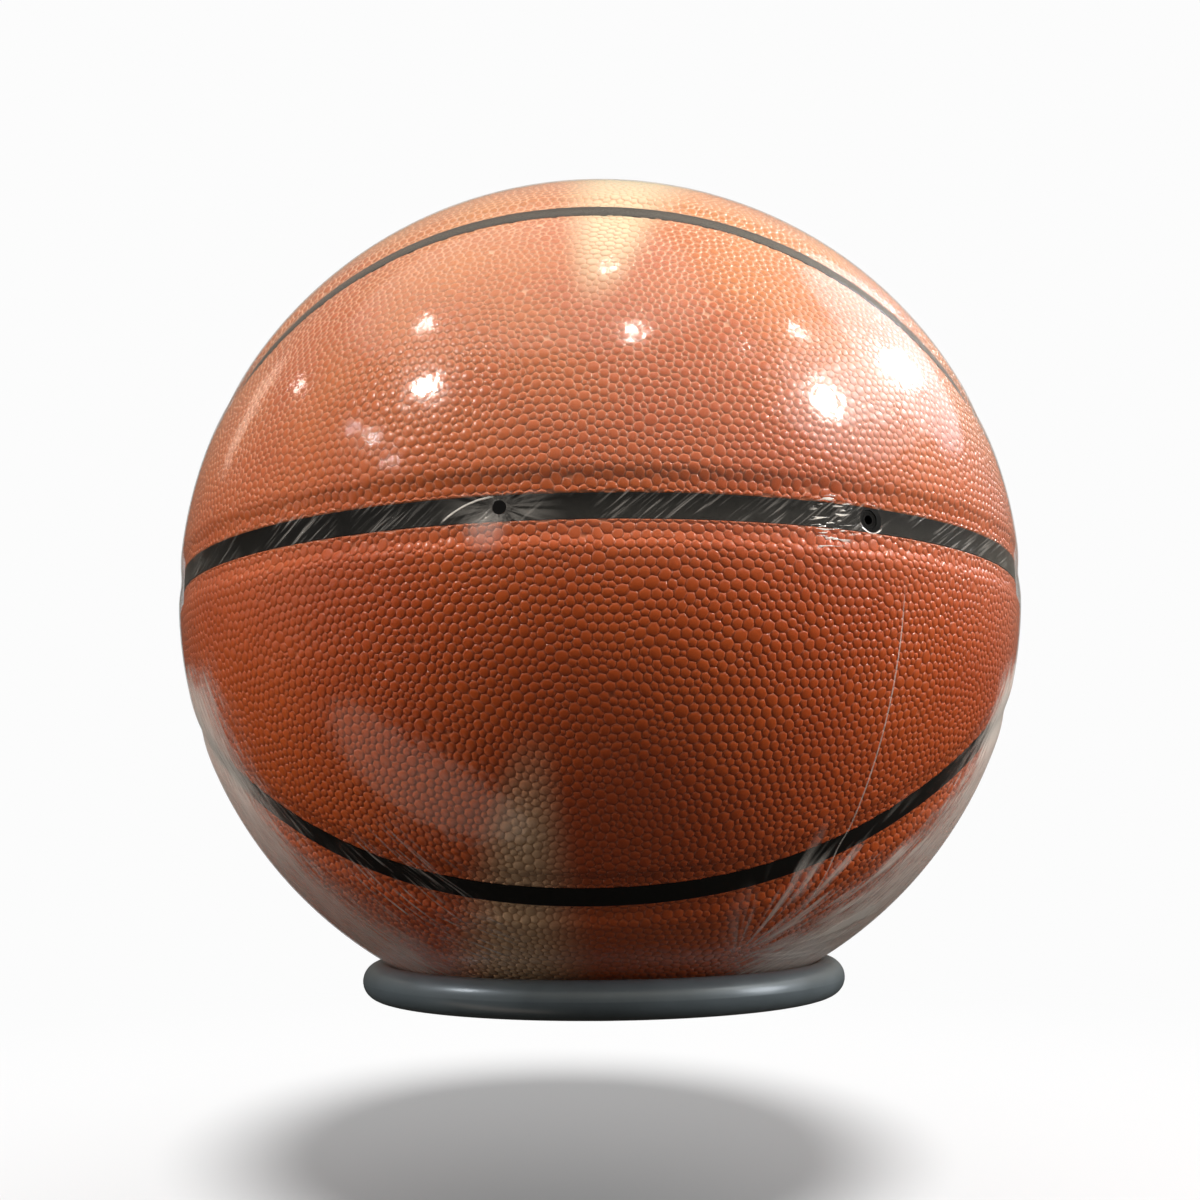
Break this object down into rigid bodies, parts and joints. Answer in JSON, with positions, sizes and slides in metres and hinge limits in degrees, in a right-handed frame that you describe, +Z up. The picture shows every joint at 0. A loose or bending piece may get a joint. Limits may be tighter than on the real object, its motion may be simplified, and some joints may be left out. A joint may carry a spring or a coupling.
{
  "type": "basketball in a display ring",
  "caption": "Pebbled composite basketball with black recessed channels, wrapped in clear shrink film and resting in a round grey display ring.",
  "frame": {"origin": "centre of the ball", "axes": "+Z up, -Y the front that the picture shows; the level channel lies in the XY plane and the upright one in the XZ plane"},
  "size_m": [0.2406, 0.2406, 0.2406],
  "materials": {
    "composite_leather": "pebbled composite leather, satin",
    "channel_rubber": "smooth black rubber",
    "carcass_rubber": "matte rubber",
    "butyl_rubber": "matte butyl rubber",
    "valve_rubber": "matte soft rubber",
    "nylon_yarn": "wound nylon yarn",
    "clear_film": "thin glossy clear film",
    "grey_metal": "satin grey"
  },
  "bodies": {
    "holder": {"display_ring": "grey_metal"},
    "ball": {"bladder": "butyl_rubber", "valve_body": "valve_rubber", "valve_core": "valve_rubber", "nylon_winding": "nylon_yarn", "carcass": "carcass_rubber", "level_channel": "channel_rubber", "upright_channel": "channel_rubber", "top_channel": "channel_rubber", "bottom_channel": "channel_rubber", "panel_top_front": "composite_leather", "panel_top_back": "composite_leather", "panel_upper_front": "composite_leather", "panel_upper_back": "composite_leather", "panel_lower_front": "composite_leather", "panel_lower_back": "composite_leather", "panel_bottom_front": "composite_leather", "panel_bottom_back": "composite_leather", "shrink_film": "clear_film"}
  },
  "joints": [
    {"name": "ball_lift", "type": "slide", "parent": "holder", "child": "ball", "axis": [0, 0, 1], "range_m": [0, 0.15]}
  ]
}
